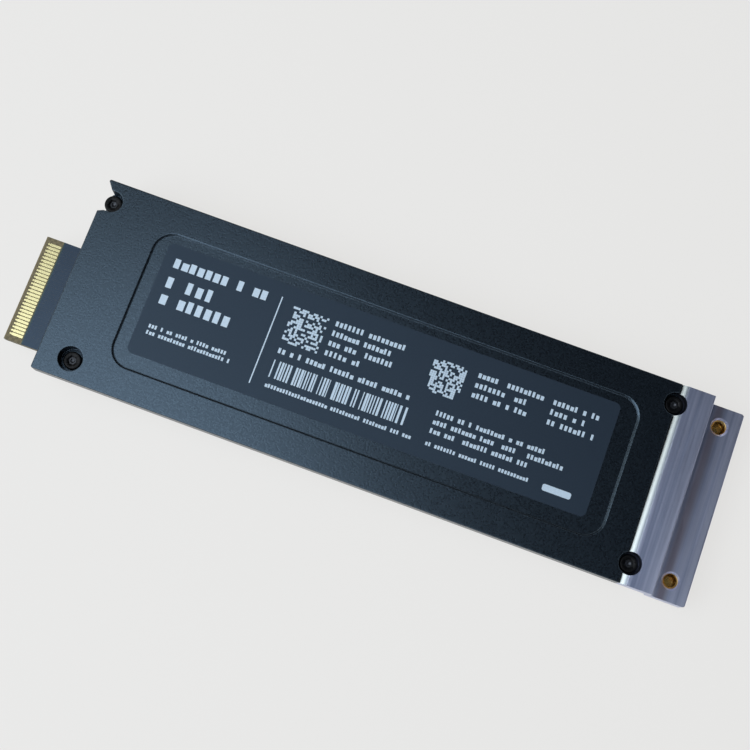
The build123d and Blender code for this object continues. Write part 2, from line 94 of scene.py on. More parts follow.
# Powder coat, sprayed dry and baked: a satin black skin with a fine pebbled grain, a little uneven in gloss.
# Its edges are lighter and greyer, partly as rubbed wear and partly as a painted highlight along the rims.
# Deep in the screw seats a share of black metal takes the light out of the coat: painted shade.
black_coat, tree, place = finish("black_powder_coat")
pebbles = wire(tree, "ShaderNodeTexNoise", {"Vector": place, "Scale": 1 / (0.3 * MM), "Detail": 2.0})
patches = wire(tree, "ShaderNodeTexNoise", {"Vector": place, "Scale": 1 / (6 * MM), "Detail": 3.0})
soft_edge = wire(tree, "ShaderNodeBevel", {"Radius": 0.15 * MM}, samples=6)
hard_edge = wire(tree, "ShaderNodeNewGeometry")
bend = wire(tree, "ShaderNodeVectorMath", {
    "Vector": soft_edge.outputs[0], "Vector_001": hard_edge.outputs["Normal"]}, operation="DOT_PRODUCT")
# Lighter greyer edges: partly rubbed wear, partly a painted highlight along the rims.
edge_highlight = wire(tree, "ShaderNodeMapRange", {
    "Value": bend.outputs["Value"], "From Min": 0.999, "From Max": 0.97, "To Min": 0.0, "To Max": 1.0})
ground = wire(tree, "ShaderNodeMix", {
    "Factor_Float": patches.outputs["Fac"], "A_Color": linear("#040507"),
    "B_Color": linear("#07090c")}, data_type="RGBA")
worn_and_highlit = wire(tree, "ShaderNodeMix", {
    "Factor_Float": edge_highlight.outputs[0], "A_Color": ground.outputs[2],
    "B_Color": linear("#3c454d")}, data_type="RGBA")
gloss = wire(tree, "ShaderNodeMapRange", {
    "Value": pebbles.outputs["Fac"], "From Min": 0.3, "From Max": 0.7, "To Min": 0.24, "To Max": 0.34})
grain = wire(tree, "ShaderNodeBump", {
    "Height": pebbles.outputs["Fac"], "Strength": 0.45, "Distance": 0.03 * MM,
    "Normal": soft_edge.outputs[0]})
# Painted shade: black metal in the deep screw seats, where the ambient occlusion is low.
seat_occlusion = wire(tree, "ShaderNodeAmbientOcclusion", {"Distance": 2.5 * MM}, samples=6, only_local=True)
seat_shade_metal = wire(tree, "ShaderNodeMapRange", {
    "Value": seat_occlusion.outputs["AO"], "From Min": 0.7, "From Max": 0.4, "To Min": 0.0, "To Max": 0.9})
surface(tree, Base_Color=worn_and_highlit.outputs[2], Metallic=seat_shade_metal.outputs[0], Roughness=gloss.outputs[0],
        Specular_IOR_Level=0.63, Specular_Tint=linear("#c3e3ff"), Normal=grain.outputs[0])
dress(black_coat, "bottom_case")

# Main board: woven glass and epoxy laminate, 1.57 mm thick, under a dark blue-black solder mask.
# Its rear tongue sticks out of the case; there the mask stops short and bare laminate shows at the contacts.
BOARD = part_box("main_board")
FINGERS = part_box("contact_fingers_top")
MASK_START = FINGERS[1].x + 0.1 * MM

# Mask over laminate: a thin glossy lacquer, a little cloudy and rippled. The cut edges and the bare end are a
# dull brownish yellow, with the glass threads at 0.5 mm; a dark green line marks the edge of the mask.
board_skin, tree, place = finish("solder_mask_on_laminate")
along = wire(tree, "ShaderNodeSeparateXYZ", {"Vector": place})
up = wire(tree, "ShaderNodeSeparateXYZ", {"Vector": wire(tree, "ShaderNodeNewGeometry").outputs["Normal"]})
level = wire(tree, "ShaderNodeMath", {"Value": up.outputs["Z"]}, operation="ABSOLUTE")
on_face = wire(tree, "ShaderNodeMath", {
    "Value": level.outputs[0], "Value_001": 0.95}, operation="GREATER_THAN")
covered = wire(tree, "ShaderNodeMath", {
    "Value": along.outputs["X"], "Value_001": MASK_START}, operation="GREATER_THAN")
masked = wire(tree, "ShaderNodeMath", {
    "Value": on_face.outputs[0], "Value_001": covered.outputs[0]}, operation="MULTIPLY")
threads = wire(tree, "ShaderNodeTexChecker", {
    "Vector": place, "Scale": 1 / (0.5 * MM), "Color1": linear("#6c5f40"), "Color2": linear("#5d5134")})
mottle = wire(tree, "ShaderNodeTexNoise", {"Vector": place, "Scale": 1 / (2.5 * MM), "Detail": 3.0})
lacquer = wire(tree, "ShaderNodeMix", {
    "Factor_Float": mottle.outputs["Fac"], "A_Color": linear("#0d1220"),
    "B_Color": linear("#141b2c")}, data_type="RGBA")
rim = wire(tree, "ShaderNodeMapRange", {
    "Value": along.outputs["X"], "From Min": MASK_START + 0.25 * MM, "From Max": MASK_START + 0.15 * MM,
    "To Min": 0.0, "To Max": 0.8})
lined = wire(tree, "ShaderNodeMix", {
    "Factor_Float": rim.outputs[0], "A_Color": lacquer.outputs[2],
    "B_Color": linear("#22301f")}, data_type="RGBA")
both = wire(tree, "ShaderNodeMix", {
    "Factor_Float": masked.outputs[0], "A_Color": threads.outputs["Color"],
    "B_Color": lined.outputs[2]}, data_type="RGBA")
gloss = wire(tree, "ShaderNodeMapRange", {"Value": masked.outputs[0], "To Min": 0.62, "To Max": 0.36})
ripple = wire(tree, "ShaderNodeBump", {
    "Height": mottle.outputs["Fac"], "Strength": 0.15, "Distance": 0.05 * MM})
surface(tree, Base_Color=both.outputs[2], Roughness=gloss.outputs[0], Specular_IOR_Level=0.42,
        Specular_Tint=linear("#c3e3ff"), Normal=ripple.outputs[0])
dress(board_skin, "main_board")

# Contact fingers: copper pads with nickel and hard gold plated on them, in a row on each face of the tongue.
# Each has round corners and a short narrow lead towards the board's end, which fed the plating current; at
# the other end its copper runs on under the mask as a track into the case.
FINGER_COUNT = 28
FINGER_PITCH = 0.6 * MM
FINGER_WIDTH = 0.48 * MM
LEAD_WIDTH = 0.3 * MM
LEAD_LENGTH = 0.35 * MM
TRACK_WIDTH = 0.26 * MM
TRACK_HEIGHT = 0.012 * MM
TRACK_GAP = 0.3 * MM
TRACK_END = BOARD[0].x + 8.3 * MM
CORNER_SHARE = 0.3
BEVEL_SHARE = 0.4


def shown(name, mesh):
    """New object in the scene with a mesh."""
    piece = bpy.data.objects.new(name, mesh)
    bpy.context.scene.collection.objects.link(piece)
    return piece


def mesh_of(name, shape, material=None, sharp=35):
    """Plain mesh of a bmesh, smooth but for edges sharper than an angle, with its faces outwards."""
    bmesh.ops.recalc_face_normals(shape, faces=shape.faces)
    mesh = bpy.data.meshes.new(name)
    shape.to_mesh(mesh)
    shape.free()
    mesh.shade_smooth()
    mesh.set_sharp_from_angle(angle=math.radians(sharp))
    if material:
        mesh.materials.append(material)
    return mesh


def add_plate(shape, low, high, corner, bevel, steps=4):
    """Adds a closed plate between two corners to a bmesh, its upright edges round, its upper rim bevelled."""
    centres = [(high[0] - corner, high[1] - corner), (low[0] + corner, high[1] - corner),
               (low[0] + corner, low[1] + corner), (high[0] - corner, low[1] + corner)]
    rings = []
    for inset, height in ((0, low[2]), (0, high[2] - bevel), (bevel, high[2])):
        ring = []
        for quarter, (x, y) in enumerate(centres):
            for step in range(steps + 1):
                angle = math.radians(90 * (quarter + step / steps))
                reach = corner - inset
                point = (x + reach * math.cos(angle), y + reach * math.sin(angle), height)
                ring.append(shape.verts.new(point))
        rings.append(ring)
    for lower, upper in zip(rings, rings[1:]):
        for at in range(len(lower)):
            shape.faces.new((lower[at - 1], lower[at], upper[at], upper[at - 1]))
    shape.faces.new(reversed(rings[0]))
    shape.faces.new(rings[-1])


def node_tree(name, sockets):
    """New geometry tree with named inputs of given kinds, and the node that carries them."""
    tree = bpy.data.node_groups.new(name, "GeometryNodeTree")
    for label, kind in {"Points": "Geometry", **sockets, "Finish": "Material"}.items():
        tree.interface.new_socket(label, in_out="INPUT", socket_type="NodeSocket" + kind)
    tree.interface.new_socket("Pieces", in_out="OUTPUT", socket_type="NodeSocketGeometry")
    return tree, wire(tree, "NodeGroupInput").outputs


def realised(tree, given, geometry):
    """Ends a geometry tree: instances turned into mesh, in the finish it was given."""
    solid = wire(tree, "GeometryNodeRealizeInstances", {"Geometry": geometry})
    painted = wire(tree, "GeometryNodeSetMaterial", {
        "Geometry": solid.outputs[0], "Material": given["Finish"]})
    wire(tree, "NodeGroupOutput", {"Pieces": painted.outputs[0]})


def grown(name, tree, values, points=None):
    """Plain mesh piece that a geometry tree makes from its values and points."""
    seedling = shown(name + "_points", points or bpy.data.meshes.new(name + "_points"))
    growth = seedling.modifiers.new(name, "NODES")
    growth.node_group = tree
    identifiers = {item.name: item.identifier for item in tree.interface.items_tree if item.in_out == "INPUT"}
    for label, value in values.items():
        growth[identifiers[label]] = value
    made = seedling.evaluated_get(bpy.context.evaluated_depsgraph_get())
    mesh = bpy.data.meshes.new_from_object(made)
    bpy.data.objects.remove(seedling)
    return shown(name, mesh)


def point_mesh(name, points):
    """Mesh of loose points."""
    mesh = bpy.data.meshes.new(name)
    mesh.from_pydata(points, [], [])
    return mesh


# A row of like pads, a pitch apart from the first.
contact_row, given = node_tree("contact_row", {
    "Pad": "Object", "Count": "Int", "Pitch": "Float", "First place": "Vector", "Turn": "Vector"})
back = wire(contact_row, "ShaderNodeMath", {"Value": given["Pitch"], "Value_001": -1.0}, operation="MULTIPLY")
pace = wire(contact_row, "ShaderNodeCombineXYZ", {"Y": back.outputs[0]})
places = wire(contact_row, "GeometryNodeMeshLine", {
    "Count": given["Count"], "Start Location": given["First place"], "Offset": pace.outputs[0]})
pad = wire(contact_row, "GeometryNodeObjectInfo", {"Object": given["Pad"]})
row = wire(contact_row, "GeometryNodeInstanceOnPoints", {
    "Points": places.outputs[0], "Instance": pad.outputs["Geometry"], "Rotation": given["Turn"]})
realised(contact_row, given, row.outputs[0])

# Hard gold over nickel: a warm, slightly satin metal, wiped in fine lines along each finger by plugging in.
gold, tree, place = finish("hard_gold_plating")
squeezed = wire(tree, "ShaderNodeMapping", {"Vector": place, "Scale": (1 / (1.5 * MM), 1 / (0.05 * MM), 1)})
wiping = wire(tree, "ShaderNodeTexNoise", {"Vector": squeezed.outputs[0], "Scale": 1.0, "Detail": 2.0})
tint = wire(tree, "ShaderNodeMix", {
    "Factor_Float": wiping.outputs["Fac"], "A_Color": linear("#9b9265"),
    "B_Color": linear("#a9a483")}, data_type="RGBA")
gloss = wire(tree, "ShaderNodeMapRange", {"Value": wiping.outputs["Fac"], "To Min": 0.2, "To Max": 0.42})
surface(tree, Base_Color=tint.outputs[2], Metallic=1.0, Roughness=gloss.outputs[0])

for face, turn in (("top", 0.0), ("bottom", math.pi)):
    node = "contact_fingers_" + face
    low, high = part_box(node)
    base = low.z if face == "top" else high.z
    first_y = high.y - FINGER_WIDTH / 2
    thickness = high.z - low.z
    row = {"Count": FINGER_COUNT, "Pitch": FINGER_PITCH, "Turn": (turn, 0.0, 0.0)}
    for name, start, end, width, height, skin in (
            (node + "_plated", low.x, high.x, FINGER_WIDTH, thickness, gold),
            (node + "_leads", low.x - LEAD_LENGTH, low.x + LEAD_WIDTH, LEAD_WIDTH, thickness / 2, gold),
            ("board_tracks_" + face, high.x + TRACK_GAP, TRACK_END, TRACK_WIDTH, TRACK_HEIGHT, board_skin)):
        shape = bmesh.new()
        add_plate(shape, (0, -width / 2, 0), (end - start, width / 2, height),
                  width * CORNER_SHARE, height * BEVEL_SHARE)
        pattern = shown(name + "_pattern", mesh_of(name, shape))
        piece = grown(name, contact_row, {**row, "Pad": pattern, "First place": (start, first_y, base),
                                          "Finish": skin})
        bpy.data.objects.remove(pattern)
        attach(piece, "root")
        if width == FINGER_WIDTH:
            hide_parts(node)

# Chips: the controller, memory, storage and power packages, silicon moulded in black epoxy and soldered down.
# Their tops are matt from the mould, filled with glass flour that shows as fine grey specks.
moulded, tree, place = finish("moulded_epoxy")
flour = wire(tree, "ShaderNodeTexNoise", {"Vector": place, "Scale": 1 / (0.15 * MM), "Detail": 2.0})
speck = wire(tree, "ShaderNodeMix", {
    "Factor_Float": flour.outputs["Fac"], "A_Color": linear("#191a1b"),
    "B_Color": linear("#2b2c2e")}, data_type="RGBA")
skin = wire(tree, "ShaderNodeBump", {"Height": flour.outputs["Fac"], "Strength": 0.3, "Distance": 0.02 * MM})
surface(tree, Base_Color=speck.outputs[2], Roughness=0.62, Normal=skin.outputs[0])
dress(moulded, "controller", "dram_1", "dram_2", "power_manager", "temperature_sensor")
dress(moulded, *(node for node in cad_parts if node.startswith(("nand_top", "nand_bottom"))))

# Hold-up capacitors: moulded tantalum bodies that keep the module running while it saves its data.
# Their dark case has a duller, slightly brown skin and faint mould flow.
tantalum, tree, place = finish("moulded_tantalum_case")
flow = wire(tree, "ShaderNodeTexNoise", {
    "Vector": place, "Scale": 1 / (1.2 * MM), "Detail": 4.0, "Distortion": 0.6})
brown = wire(tree, "ShaderNodeMix", {
    "Factor_Float": flow.outputs["Fac"], "A_Color": linear("#2c2a28"),
    "B_Color": linear("#413d38")}, data_type="RGBA")
surface(tree, Base_Color=brown.outputs[2], Roughness=0.55)
dress(tantalum, "hold_up_capacitors")

# Inductors: coils of the power supply with iron powder pressed round them, soldered to the board.
# The grey blocks look granular, like fine sandpaper.
pressed, tree, place = finish("pressed_iron_powder")
grit = wire(tree, "ShaderNodeTexVoronoi", {"Vector": place, "Scale": 1 / (0.12 * MM)})
steel_grey = wire(tree, "ShaderNodeMix", {
    "Factor_Float": grit.outputs["Distance"], "A_Color": linear("#6a6b6c"),
    "B_Color": linear("#4b4c4e")}, data_type="RGBA")
rough = wire(tree, "ShaderNodeBump", {
    "Height": grit.outputs["Distance"], "Strength": 0.5, "Distance": 0.03 * MM})
surface(tree, Base_Color=steel_grey.outputs[2], Metallic=0.3, Roughness=0.6, Normal=rough.outputs[0])
dress(pressed, "inductors")

# Chip capacitors and the fuse: small bricks of fired ceramic, soldered flat on the board.
# They are tan with a cloudy glaze.
fired, tree, place = finish("fired_ceramic")
cloud = wire(tree, "ShaderNodeTexNoise", {"Vector": place, "Scale": 1 / (0.5 * MM), "Detail": 3.0})
tan = wire(tree, "ShaderNodeMix", {
    "Factor_Float": cloud.outputs["Fac"], "A_Color": linear("#a08560"),
    "B_Color": linear("#b99f78")}, data_type="RGBA")
surface(tree, Base_Color=tan.outputs[2], Roughness=0.4)
dress(fired, "decoupling_capacitors", "input_fuse")

# Clock crystal: a quartz plate in a drawn nickel-plated can, soldered to the board.
# The can is bright, with faint drawing lines.
nickel, tree, place = finish("drawn_nickel_can")
drawn = wire(tree, "ShaderNodeMapping", {
    "Vector": place, "Scale": (1 / (3 * MM), 1 / (0.06 * MM), 1 / (0.06 * MM))})
lines = wire(tree, "ShaderNodeTexNoise", {"Vector": drawn.outputs[0], "Scale": 1.0, "Detail": 2.0})
gloss = wire(tree, "ShaderNodeMapRange", {"Value": lines.outputs["Fac"], "To Min": 0.22, "To Max": 0.4})
shade = wire(tree, "ShaderNodeMix", {
    "Factor_Float": lines.outputs["Fac"], "A_Color": linear("#cfccc4"),
    "B_Color": linear("#dedbd3")}, data_type="RGBA")
surface(tree, Base_Color=shade.outputs[2], Metallic=1.0, Roughness=gloss.outputs[0])
dress(nickel, "crystal")

# Thermal pads: soft silicone sheets filled with ceramic powder, cut to size, pressed between chips and case.
# They look chalky and a little tacky, grey-blue with pale grains.
soft_pad, tree, place = finish("filled_silicone")
grains = wire(tree, "ShaderNodeTexNoise", {"Vector": place, "Scale": 1 / (0.2 * MM), "Detail": 3.0})
chalk = wire(tree, "ShaderNodeMix", {
    "Factor_Float": grains.outputs["Fac"], "A_Color": linear("#8f9aa3"),
    "B_Color": linear("#aab3ba")}, data_type="RGBA")
dimples = wire(tree, "ShaderNodeBump", {
    "Height": grains.outputs["Fac"], "Strength": 0.3, "Distance": 0.03 * MM})
surface(tree, Base_Color=chalk.outputs[2], Roughness=0.7, Normal=dimples.outputs[0])
dress(soft_pad, "controller_pad", "nand_pad_top", "nand_pad_bottom")

# Status lights: two side-shining diodes in white resin, and an acrylic rod from each to the bracket's front.
# The resin is creamy with a soft gloss.
resin, tree, place = finish("white_diode_resin")
haze = wire(tree, "ShaderNodeTexNoise", {"Vector": place, "Scale": 1 / (0.4 * MM), "Detail": 2.0})
cream = wire(tree, "ShaderNodeMix", {
    "Factor_Float": haze.outputs["Fac"], "A_Color": linear("#e4e1d6"),
    "B_Color": linear("#f1efe8")}, data_type="RGBA")
surface(tree, Base_Color=cream.outputs[2], Roughness=0.35)
dress(resin, "green_led", "amber_led")

# Clear acrylic: the rods let light through, but are slightly milky and hazed on their skin.
acrylic, tree, place = finish("clear_acrylic_rod")
haze = wire(tree, "ShaderNodeTexNoise", {"Vector": place, "Scale": 1 / (0.3 * MM), "Detail": 2.0})
gloss = wire(tree, "ShaderNodeMapRange", {"Value": haze.outputs["Fac"], "To Min": 0.12, "To Max": 0.3})
surface(tree, Base_Color=linear("#e6ecef"), Roughness=gloss.outputs[0], Transmission_Weight=0.7, IOR=1.49)
dress(acrylic, "light_pipe_green", "light_pipe_amber")

# Cover: a pressed and milled aluminium lid with a shallow recess for the label and counterbored screw seats.
# It has the case's black powder coat, and its long edges stand out past the case as guide rails.
dress(black_coat, "top_cover")

# Label: polyester film with a printed dark blue ground, glued into the recess of the cover.
# Its matt varnish takes less of the light than the coat round it, and lies in faint waves.
film, tree, place = finish("printed_polyester_film")
waves = wire(tree, "ShaderNodeTexNoise", {"Vector": place, "Scale": 1 / (5 * MM), "Detail": 2.0})
dots = wire(tree, "ShaderNodeTexNoise", {"Vector": place, "Scale": 1 / (0.25 * MM), "Detail": 1.0})
navy = wire(tree, "ShaderNodeMix", {
    "Factor_Float": dots.outputs["Fac"], "A_Color": linear("#181e27"),
    "B_Color": linear("#1d2530")}, data_type="RGBA")
slack = wire(tree, "ShaderNodeBump", {"Height": waves.outputs["Fac"], "Strength": 0.1, "Distance": 0.1 * MM})
surface(tree, Base_Color=navy.outputs[2], Roughness=0.5, Specular_IOR_Level=0.4,
        Specular_Tint=linear("#c3e3ff"), Normal=slack.outputs[0])
dress(film, "label")

# Label print: one pass of pale blue screen ink on the film. It is only a layout of blocks: rows of marks that
# say nothing, two squares of seeded cells, a strip of bars, a plain bar and a dividing line. Each is given by
# x, y, length and height in millimetres on the film, and a square by x, y, side, cells and seed.
INK = 0.012 * MM
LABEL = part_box("label")
DIVIDER = (20.4, 2.0, 0.2, 15.2)
FOOT_BAR = (70.2, 1.9, 4.8, 1.1)
TEXT_ROWS = (
    (1.9, 15.6, 15.2, 1.9), (1.9, 12.1, 8.6, 2.1), (1.9, 9.2, 12.4, 2.1),
    (1.9, 4.9, 13.0, 0.7), (1.9, 3.8, 14.0, 0.7),
    (30.2, 15.6, 11.5, 0.95), (30.2, 13.9, 9.6, 0.95), (30.2, 12.2, 10.4, 0.95), (30.2, 10.5, 5.4, 0.95),
    (23.0, 8.2, 22.0, 0.95), (23.0, 2.3, 24.5, 0.7),
    (54.8, 15.6, 10.6, 0.95), (54.8, 13.9, 8.2, 0.95), (54.8, 12.2, 9.4, 0.95),
    (67.6, 15.6, 7.2, 0.95), (67.6, 13.9, 6.1, 0.95), (67.6, 12.2, 7.4, 0.95),
    (50.4, 7.4, 18.0, 0.85), (50.4, 5.9, 21.5, 0.85), (50.4, 4.4, 16.0, 0.85), (50.4, 2.3, 17.0, 0.7),
)
BAR_STRIP = (23.0, 4.0, 22.6, 3.0)
CODE_SQUARES = ((23.0, 10.4, 5.8, 16, 3), (47.4, 10.9, 5.3, 16, 8))
CELL_SHARE = 0.55
TEXT_PITCH = 0.72
BAR_PITCH = 0.16


def label_point(x, y):
    """Place on the film's upper face, from its lower rear corner in millimetres."""
    return Vector((LABEL[0].x + x * MM, LABEL[0].y + y * MM, LABEL[1].z))


# Screen ink: a flat opaque pale blue, with pinholes and slightly uneven cover.
ink, tree, place = finish("pale_screen_ink")
cover = wire(tree, "ShaderNodeTexNoise", {"Vector": place, "Scale": 1 / (0.3 * MM), "Detail": 2.0})
pale = wire(tree, "ShaderNodeMix", {
    "Factor_Float": cover.outputs["Fac"], "A_Color": linear("#a3b5c4"),
    "B_Color": linear("#bccbd8")}, data_type="RGBA")
surface(tree, Base_Color=pale.outputs[2], Roughness=0.5)

shape = bmesh.new()
for x, y, width, height in (DIVIDER, FOOT_BAR):
    corner = min(width, height) * CORNER_SHARE * MM
    far_corner = label_point(x + width, y + height) + Vector((0, 0, INK))
    add_plate(shape, label_point(x, y), far_corner, corner, INK / 2)
print_bars = shown("label_print_bars", mesh_of("label_print_bars", shape, ink))

# Rows of marks: each edge is a row, with a mark at every pitch; some are left out as spaces between words,
# and the others vary in width and height above their base line.
mark_rows, given = node_tree("label_mark_rows", {
    "Spaces": "Float", "Raggedness": "Float", "Narrowest": "Float", "Widest": "Float", "Ink": "Float",
    "Seed": "Int"})
lines = wire(mark_rows, "GeometryNodeMeshToCurve", {"Mesh": given["Points"]})
pitch = wire(mark_rows, "GeometryNodeInputNamedAttribute", {"Name": "pitch"}, data_type="FLOAT")
tall = wire(mark_rows, "GeometryNodeInputNamedAttribute", {"Name": "height"}, data_type="FLOAT")
steps = wire(mark_rows, "GeometryNodeResampleCurve", {
    "Curve": lines.outputs[0], "Length": pitch.outputs[0]}, mode="LENGTH")
marks = wire(mark_rows, "GeometryNodeCurveToPoints", {"Curve": steps.outputs[0]}, mode="EVALUATED")
left_out = wire(mark_rows, "FunctionNodeRandomValue", {
    "Probability": given["Spaces"], "Seed": given["Seed"]}, data_type="BOOLEAN")
words = wire(mark_rows, "GeometryNodeDeleteGeometry", {
    "Geometry": marks.outputs["Points"], "Selection": left_out.outputs[3]}, domain="POINT")
share = wire(mark_rows, "FunctionNodeRandomValue", {
    "Min_001": given["Narrowest"], "Max_001": given["Widest"], "Seed": given["Seed"]}, data_type="FLOAT")
cut = wire(mark_rows, "FunctionNodeRandomValue", {
    "Min_001": 0.0, "Max_001": given["Raggedness"], "Seed": given["Seed"]}, data_type="FLOAT")
wide = wire(mark_rows, "ShaderNodeMath", {
    "Value": pitch.outputs[0], "Value_001": share.outputs[1]}, operation="MULTIPLY")
rest = wire(mark_rows, "ShaderNodeMath", {"Value": 1.0, "Value_001": cut.outputs[1]}, operation="SUBTRACT")
high = wire(mark_rows, "ShaderNodeMath", {
    "Value": tall.outputs[0], "Value_001": rest.outputs[0]}, operation="MULTIPLY")
size = wire(mark_rows, "ShaderNodeCombineXYZ", {
    "X": wide.outputs[0], "Y": high.outputs[0], "Z": given["Ink"]})
block = wire(mark_rows, "GeometryNodeMeshCube", {"Size": (1.0, 1.0, 1.0)})
corner = wire(mark_rows, "GeometryNodeTransform", {
    "Geometry": block.outputs[0], "Translation": (0.5, 0.5, 0.5)})
printed = wire(mark_rows, "GeometryNodeInstanceOnPoints", {
    "Points": words.outputs[0], "Instance": corner.outputs[0], "Scale": size.outputs[0]})
realised(mark_rows, given, printed.outputs[0])


def row_mesh(name, rows, pitch_share):
    """Mesh of one edge for each row, which carries the row's pitch and height."""
    mesh = bpy.data.meshes.new(name)
    ends = [point for x, y, length, _ in rows for point in (label_point(x, y), label_point(x + length, y))]
    mesh.from_pydata(ends, [(at, at + 1) for at in range(0, len(ends), 2)], [])
    heights = [height * MM for _, _, _, height in rows for _ in range(2)]
    for attribute, values in (("height", heights), ("pitch", [value * pitch_share for value in heights])):
        mesh.attributes.new(attribute, "FLOAT", "POINT").data.foreach_set("value", values)
    return mesh


print_rows = grown("label_print_rows", mark_rows, {
    "Spaces": 0.16, "Raggedness": 0.3, "Narrowest": 0.55, "Widest": 0.84, "Ink": INK, "Seed": 5,
    "Finish": ink}, row_mesh("text_rows", TEXT_ROWS, TEXT_PITCH))
print_strip = grown("label_print_strip", mark_rows, {
    "Spaces": 0.12, "Raggedness": 0.0, "Narrowest": 0.3, "Widest": 0.85, "Ink": INK, "Seed": 2,
    "Finish": ink}, row_mesh("bar_strip", (BAR_STRIP,), BAR_PITCH))

# Squares of cells: a grid of places, of which a seeded half is printed.
cell_square, given = node_tree("label_cell_square", {
    "Side": "Float", "Cells": "Int", "Corner": "Vector", "Ink": "Float", "Share": "Float", "Seed": "Int"})
grid = wire(cell_square, "GeometryNodeMeshGrid", {
    "Size X": given["Side"], "Size Y": given["Side"], "Vertices X": given["Cells"],
    "Vertices Y": given["Cells"]})
kept = wire(cell_square, "FunctionNodeRandomValue", {
    "Probability": given["Share"], "Seed": given["Seed"]}, data_type="BOOLEAN")
cell = wire(cell_square, "ShaderNodeMath", {
    "Value": given["Side"], "Value_001": given["Cells"]}, operation="DIVIDE")
size = wire(cell_square, "ShaderNodeCombineXYZ", {
    "X": cell.outputs[0], "Y": cell.outputs[0], "Z": given["Ink"]})
block = wire(cell_square, "GeometryNodeMeshCube", {"Size": (1.0, 1.0, 1.0)})
raised = wire(cell_square, "GeometryNodeTransform", {
    "Geometry": block.outputs[0], "Translation": (0.0, 0.0, 0.5)})
cells = wire(cell_square, "GeometryNodeInstanceOnPoints", {
    "Points": grid.outputs[0], "Selection": kept.outputs[3], "Instance": raised.outputs[0],
    "Scale": size.outputs[0]})
moved = wire(cell_square, "GeometryNodeTransform", {
    "Geometry": cells.outputs[0], "Translation": given["Corner"]})
realised(cell_square, given, moved.outputs[0])
print_squares = []
for index, (x, y, side, count, seed) in enumerate(CODE_SQUARES, 1):
    print_squares.append(grown(f"label_print_square_{index}", cell_square, {
        "Side": side * MM, "Cells": count, "Corner": label_point(x + side / 2, y + side / 2), "Ink": INK,
        "Share": CELL_SHARE, "Seed": seed, "Finish": ink}))
for piece in (print_bars, print_rows, print_strip, *print_squares):
    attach(piece, "root")

# Front bracket: an aluminium extrusion cut to width, with a platform level with the cover, a web and a lower
# ledge. It is left bare and brushed across the module, and the two front screws hold it with the cover.
BRACKET_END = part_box("front_bracket")[1].x
BEVEL_CREST = BRACKET_END - 11.3 * MM
# Middle of the band of painted shade along the foot of the step.
STEP_SHADE_LINE = BRACKET_END - 4.2 * MM
# Phase of the broad streaks, set so that both steps come out lighter towards their outer edges: painted
# light.
STREAK_PHASE_FOR_LIGHT_EDGES = (329.35, 0.0, 112.79)

# Brushed aluminium: long fine scratches across the module give silky light and dark streaks, and the sawn
# ends show fine level lines. The broad streaks are placed so that both steps come out lighter towards their
# outer edges, which is painted light. The bevel beside the cover carries a painted highlight, lighter up to
# its crest and darker past it; along the foot of the step lies a darker brownish band of painted shade, and
# the narrow gaps round the screw heads are painted near black as shade.
bare, tree, place = finish("brushed_aluminium")
drawn_out = wire(tree, "ShaderNodeMapping", {
    "Vector": place, "Scale": (1 / (0.14 * MM), 1 / (16 * MM), 1 / (0.14 * MM))})
scratches = wire(tree, "ShaderNodeTexNoise", {
    "Vector": drawn_out.outputs[0], "Scale": 1.0, "Detail": 4.0, "Roughness": 0.65})
broad = wire(tree, "ShaderNodeMapping", {
    "Vector": place, "Location": STREAK_PHASE_FOR_LIGHT_EDGES, "Scale": (1 / (1.1 * MM), 1 / (120 * MM), 1 / (1.1 * MM))})
bands = wire(tree, "ShaderNodeTexNoise", {"Vector": broad.outputs[0], "Scale": 1.0, "Detail": 2.0})
streaks = wire(tree, "ShaderNodeMapRange", {
    "Value": bands.outputs["Fac"], "From Min": 0.35, "From Max": 0.65})
facing = wire(tree, "ShaderNodeSeparateXYZ", {
    "Vector": wire(tree, "ShaderNodeNewGeometry").outputs["Normal"]})
sideways = wire(tree, "ShaderNodeMath", {"Value": facing.outputs["Y"]}, operation="ABSOLUTE")
sawn = wire(tree, "ShaderNodeMapRange", {"Value": sideways.outputs[0], "From Min": 0.7, "From Max": 0.9})
kerf = wire(tree, "ShaderNodeMapping", {
    "Vector": place, "Scale": (1 / (9 * MM), 1 / (9 * MM), 1 / (0.25 * MM))})
saw_marks = wire(tree, "ShaderNodeTexNoise", {"Vector": kerf.outputs[0], "Scale": 1.0, "Detail": 2.0})
tone = wire(tree, "ShaderNodeMix", {
    "Factor_Float": sawn.outputs[0], "A_Float": streaks.outputs[0],
    "B_Float": saw_marks.outputs["Fac"]}, data_type="FLOAT")
silver = wire(tree, "ShaderNodeMix", {
    "Factor_Float": tone.outputs[0], "A_Color": linear("#99a3c1"),
    "B_Color": linear("#ced2e8")}, data_type="RGBA")
level = wire(tree, "ShaderNodeSeparateXYZ", {"Vector": place})
# Painted highlight on the bevel beside the cover: a lighter tone up to its crest and a darker one past it.
beside_cover = wire(tree, "ShaderNodeMapRange", {
    "Value": level.outputs["X"], "From Min": BEVEL_CREST + 1.5 * MM, "From Max": BEVEL_CREST + 1.0 * MM})
bevel_highlight_mask = wire(tree, "ShaderNodeMapRange", {
    "Value": facing.outputs["X"], "From Min": -0.02, "From Max": -0.2, "To Min": 0.0,
    "To Max": beside_cover.outputs[0]})
past_crest = wire(tree, "ShaderNodeMapRange", {
    "Value": level.outputs["X"], "From Min": BEVEL_CREST, "From Max": BEVEL_CREST + 0.35 * MM})
edge_highlight = wire(tree, "ShaderNodeMix", {
    "Factor_Float": past_crest.outputs[0], "A_Color": linear("#a6aeb1"),
    "B_Color": linear("#757b81")}, data_type="RGBA")
bevel_highlit = wire(tree, "ShaderNodeMix", {
    "Factor_Float": bevel_highlight_mask.outputs[0], "A_Color": silver.outputs[2],
    "B_Color": edge_highlight.outputs[2]}, data_type="RGBA")
